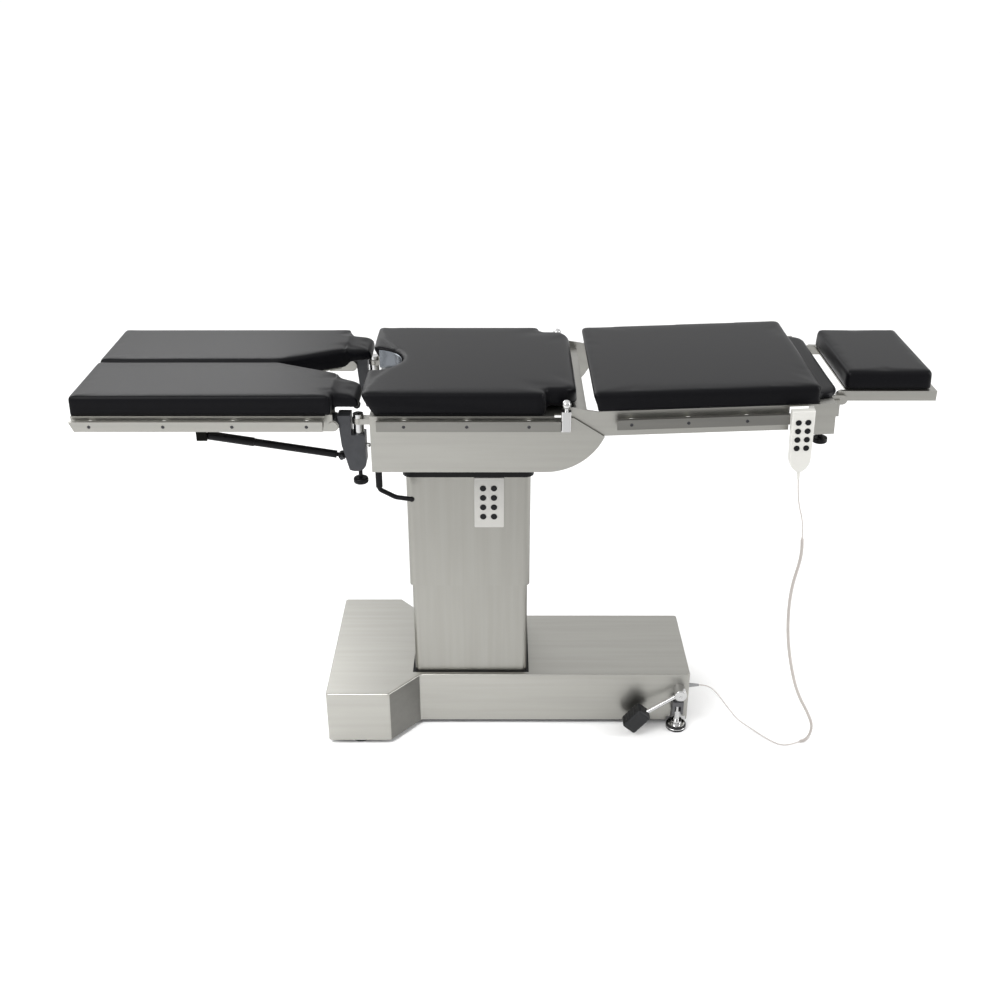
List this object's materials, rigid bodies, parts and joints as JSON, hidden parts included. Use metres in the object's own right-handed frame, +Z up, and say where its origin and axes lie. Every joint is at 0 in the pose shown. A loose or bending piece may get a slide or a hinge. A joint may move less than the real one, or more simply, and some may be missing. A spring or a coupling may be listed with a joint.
{
  "type": "operating table",
  "caption": "Operating table with split leg sections, seat with cut-out, raised back, head rest, side rails, telescopic column and wheeled base",
  "frame": {"origin": "on the floor below the middle of the table's length and width", "axes": "+X towards the head end, +Y away from the side that carries the handset, +Z up"},
  "size_m": [2.0932, 0.565, 1.0635],
  "materials": {
    "upholstery": "semi-matt",
    "steel": "brushed",
    "chassis": "satin",
    "casting": "satin",
    "chrome": "polished",
    "black_plastic": "matt",
    "white_plastic": "gloss",
    "keys": "gloss",
    "rubber": "matt",
    "tyre": "matt"
  },
  "bodies": {
    "base": {"base_cover": "steel", "base_chassis": "chassis", "column_seal": "rubber", "column_inner_stage": "steel", "cord_gland": "black_plastic", "cord_upper": "white_plastic", "cord_curl": "white_plastic", "cord_lower": "white_plastic"},
    "middle_stage": {"column_mid_sleeve": "steel"},
    "column_top": {"column_outer_sleeve": "steel", "column_head": "chassis", "control_panel": "white_plastic"},
    "cross": {"tilt_cross": "casting"},
    "seat": {"seat_frame": "steel", "seat_cushion": "upholstery", "hinge_pins": "chrome"},
    "lever": {"clamp_lever": "black_plastic"},
    "back": {"back_frame": "steel", "back_cushion": "upholstery"},
    "head": {"head_frame": "steel", "head_cushion": "upholstery"},
    "head_knob": {"head_lock_knob": "black_plastic"},
    "remote": {"handset": "white_plastic"},
    "lock_feet": {"lock_foot_stems": "chrome", "lock_foot_pads": "rubber"},
    "pedal": {"brake_pedal": "chrome", "pedal_pad": "rubber"},
    "rear_wheels": {"fixed_wheels": "tyre"},
    "hinge_near": {"leg_hinge_near": "casting"},
    "leg_near": {"leg_frame_near": "steel", "leg_cushion_near": "upholstery"},
    "leg_knob_near_body": {"leg_knob_near": "black_plastic"},
    "spring_tube_near": {"gas_spring_tube_near": "casting"},
    "spring_rod_near": {"gas_spring_rod_near": "chrome"},
    "caster_near": {"caster_fork_near": "chassis"},
    "caster_roller_near": {"caster_wheel_near": "tyre"},
    "hinge_far": {"leg_hinge_far": "casting"},
    "leg_far": {"leg_frame_far": "steel", "leg_cushion_far": "upholstery"},
    "leg_knob_far_body": {"leg_knob_far": "black_plastic"},
    "spring_tube_far": {"gas_spring_tube_far": "casting"},
    "spring_rod_far": {"gas_spring_rod_far": "chrome"},
    "caster_far": {"caster_fork_far": "chassis"},
    "caster_roller_far": {"caster_wheel_far": "tyre"},
    "panel_key_1": {"panel_button_1": "keys"},
    "panel_key_2": {"panel_button_2": "keys"},
    "panel_key_3": {"panel_button_3": "keys"},
    "panel_key_4": {"panel_button_4": "keys"},
    "panel_key_5": {"panel_button_5": "keys"},
    "panel_key_6": {"panel_button_6": "keys"},
    "panel_key_7": {"panel_button_7": "keys"},
    "panel_key_8": {"panel_button_8": "keys"},
    "handset_key_1": {"handset_button_1": "keys"},
    "handset_key_2": {"handset_button_2": "keys"},
    "handset_key_3": {"handset_button_3": "keys"},
    "handset_key_4": {"handset_button_4": "keys"},
    "handset_key_5": {"handset_button_5": "keys"},
    "handset_key_6": {"handset_button_6": "keys"},
    "handset_key_7": {"handset_button_7": "keys"},
    "handset_key_8": {"handset_button_8": "keys"}
  },
  "joints": [
    {"name": "lift", "type": "slide", "parent": "base", "child": "column_top", "axis": [0, 0, 1], "range_m": [-0.25, 0.03], "deforming": ["cord_upper", "cord_curl", "cord_lower"]},
    {"name": "middle_stage_lift", "type": "slide", "parent": "base", "child": "middle_stage", "axis": [0, 0, 1], "range_m": [-0.126, 0.016]},
    {"name": "trendelenburg", "type": "hinge", "parent": "column_top", "child": "cross", "pos_m": [-0.093, 0, 0.862], "axis": [0, 1, 0], "range_deg": [-25, 25]},
    {"name": "lateral_tilt", "type": "hinge", "parent": "cross", "child": "seat", "pos_m": [-0.093, 0, 0.862], "axis": [1, 0, 0], "range_deg": [-15, 15]},
    {"name": "back_hinge", "type": "hinge", "parent": "seat", "child": "back", "pos_m": [0.15, 0, 0.99], "axis": [0, -1, 0], "range_deg": [-17, 73]},
    {"name": "head_hinge", "type": "hinge", "parent": "back", "child": "head", "pos_m": [0.82116, 0, 0.998], "axis": [0, -1, 0], "range_deg": [-90, 45]},
    {"name": "head_knob_turn", "type": "hinge", "parent": "back", "child": "head_knob", "pos_m": [0.76495, -0.222, 0.9345], "axis": [-0.0366, 0, 0.9993], "continuous": true},
    {"name": "lever_turn", "type": "hinge", "parent": "seat", "child": "lever", "pos_m": [-0.314, -0.2, 0.85], "axis": [0, 0, -1], "range_deg": [0, 90]},
    {"name": "handset_lift_off", "type": "slide", "parent": "back", "child": "remote", "axis": [-0.0366, 0, 0.9993], "range_m": [0, 0.15]},
    {"name": "pedal_turn", "type": "hinge", "parent": "base", "child": "pedal", "pos_m": [0.487, 0, 0.121], "axis": [0, 1, 0], "range_deg": [0, 25]},
    {"name": "foot_lift", "type": "slide", "parent": "base", "child": "lock_feet", "axis": [0, 0, 1], "range_m": [0, 0.0121]},
    {"name": "rear_wheel_spin", "type": "hinge", "parent": "base", "child": "rear_wheels", "pos_m": [-0.398, 0, 0.035], "axis": [0, 1, 0], "continuous": true},
    {"name": "leg_swing_near", "type": "hinge", "parent": "seat", "child": "hinge_near", "pos_m": [-0.356, -0.205, 0.95], "axis": [0, 0, 1], "range_deg": [0, 90]},
    {"name": "leg_fold_near", "type": "hinge", "parent": "hinge_near", "child": "leg_near", "pos_m": [-0.415, -0.205, 0.95], "axis": [0, -1, 0], "range_deg": [-15, 45]},
    {"name": "leg_knob_turn_near", "type": "hinge", "parent": "hinge_near", "child": "leg_knob_near_body", "pos_m": [-0.358, -0.205, 0.8], "axis": [0, 0, 1], "continuous": true},
    {"name": "gas_spring_turn_near", "type": "hinge", "parent": "hinge_near", "child": "spring_tube_near", "pos_m": [-0.406, -0.166, 0.843], "axis": [0, -1, 0], "range_deg": [-18, 50]},
    {"name": "gas_spring_slide_near", "type": "slide", "parent": "spring_tube_near", "child": "spring_rod_near", "axis": [0.9869, 0, -0.1611], "range_m": [-0.03, 0.084]},
    {"name": "caster_swivel_near", "type": "hinge", "parent": "base", "child": "caster_near", "pos_m": [0.395, -0.075, 0.112], "axis": [0, 0, 1], "continuous": true},
    {"name": "caster_spin_near", "type": "hinge", "parent": "caster_near", "child": "caster_roller_near", "pos_m": [0.375, -0.075, 0.035], "axis": [0, 1, 0], "continuous": true},
    {"name": "leg_swing_far", "type": "hinge", "parent": "seat", "child": "hinge_far", "pos_m": [-0.356, 0.205, 0.95], "axis": [0, 0, -1], "range_deg": [0, 90]},
    {"name": "leg_fold_far", "type": "hinge", "parent": "hinge_far", "child": "leg_far", "pos_m": [-0.415, 0.205, 0.95], "axis": [0, -1, 0], "range_deg": [-15, 45]},
    {"name": "leg_knob_turn_far", "type": "hinge", "parent": "hinge_far", "child": "leg_knob_far_body", "pos_m": [-0.358, 0.205, 0.8], "axis": [0, 0, 1], "continuous": true},
    {"name": "gas_spring_turn_far", "type": "hinge", "parent": "hinge_far", "child": "spring_tube_far", "pos_m": [-0.406, 0.166, 0.843], "axis": [0, -1, 0], "range_deg": [-18, 50]},
    {"name": "gas_spring_slide_far", "type": "slide", "parent": "spring_tube_far", "child": "spring_rod_far", "axis": [0.9869, 0, -0.1611], "range_m": [-0.03, 0.084]},
    {"name": "caster_swivel_far", "type": "hinge", "parent": "base", "child": "caster_far", "pos_m": [0.395, 0.075, 0.112], "axis": [0, 0, 1], "continuous": true},
    {"name": "caster_spin_far", "type": "hinge", "parent": "caster_far", "child": "caster_roller_far", "pos_m": [0.375, 0.075, 0.035], "axis": [0, 1, 0], "continuous": true},
    {"name": "panel_press_1", "type": "slide", "parent": "column_top", "child": "panel_key_1", "axis": [0, 1, 0], "range_m": [0, 0.001], "stiffness_N_per_m": 600},
    {"name": "panel_press_2", "type": "slide", "parent": "column_top", "child": "panel_key_2", "axis": [0, 1, 0], "range_m": [0, 0.001], "stiffness_N_per_m": 600},
    {"name": "panel_press_3", "type": "slide", "parent": "column_top", "child": "panel_key_3", "axis": [0, 1, 0], "range_m": [0, 0.001], "stiffness_N_per_m": 600},
    {"name": "panel_press_4", "type": "slide", "parent": "column_top", "child": "panel_key_4", "axis": [0, 1, 0], "range_m": [0, 0.001], "stiffness_N_per_m": 600},
    {"name": "panel_press_5", "type": "slide", "parent": "column_top", "child": "panel_key_5", "axis": [0, 1, 0], "range_m": [0, 0.001], "stiffness_N_per_m": 600},
    {"name": "panel_press_6", "type": "slide", "parent": "column_top", "child": "panel_key_6", "axis": [0, 1, 0], "range_m": [0, 0.001], "stiffness_N_per_m": 600},
    {"name": "panel_press_7", "type": "slide", "parent": "column_top", "child": "panel_key_7", "axis": [0, 1, 0], "range_m": [0, 0.001], "stiffness_N_per_m": 600},
    {"name": "panel_press_8", "type": "slide", "parent": "column_top", "child": "panel_key_8", "axis": [0, 1, 0], "range_m": [0, 0.001], "stiffness_N_per_m": 600},
    {"name": "handset_press_1", "type": "slide", "parent": "remote", "child": "handset_key_1", "axis": [0, 1, 0], "range_m": [0, 0.001], "stiffness_N_per_m": 600},
    {"name": "handset_press_2", "type": "slide", "parent": "remote", "child": "handset_key_2", "axis": [0, 1, 0], "range_m": [0, 0.001], "stiffness_N_per_m": 600},
    {"name": "handset_press_3", "type": "slide", "parent": "remote", "child": "handset_key_3", "axis": [0, 1, 0], "range_m": [0, 0.001], "stiffness_N_per_m": 600},
    {"name": "handset_press_4", "type": "slide", "parent": "remote", "child": "handset_key_4", "axis": [0, 1, 0], "range_m": [0, 0.001], "stiffness_N_per_m": 600},
    {"name": "handset_press_5", "type": "slide", "parent": "remote", "child": "handset_key_5", "axis": [0, 1, 0], "range_m": [0, 0.001], "stiffness_N_per_m": 600},
    {"name": "handset_press_6", "type": "slide", "parent": "remote", "child": "handset_key_6", "axis": [0, 1, 0], "range_m": [0, 0.001], "stiffness_N_per_m": 600},
    {"name": "handset_press_7", "type": "slide", "parent": "remote", "child": "handset_key_7", "axis": [0, 1, 0], "range_m": [0, 0.001], "stiffness_N_per_m": 600},
    {"name": "handset_press_8", "type": "slide", "parent": "remote", "child": "handset_key_8", "axis": [0, 1, 0], "range_m": [0, 0.001], "stiffness_N_per_m": 600}
  ],
  "couplings": [
    {"joint": "middle_stage_lift", "follows": "lift", "ratio": 0.5},
    {"joint": "foot_lift", "follows": "pedal_turn", "m_per_rad": 0.0275},
    {"joint": "gas_spring_turn_near", "follows": "leg_fold_near", "ratio": 1.058},
    {"joint": "gas_spring_slide_near", "follows": "leg_fold_near", "m_per_rad": 0.1034},
    {"joint": "gas_spring_turn_far", "follows": "leg_fold_far", "ratio": 1.058},
    {"joint": "gas_spring_slide_far", "follows": "leg_fold_far", "m_per_rad": 0.1034}
  ]
}
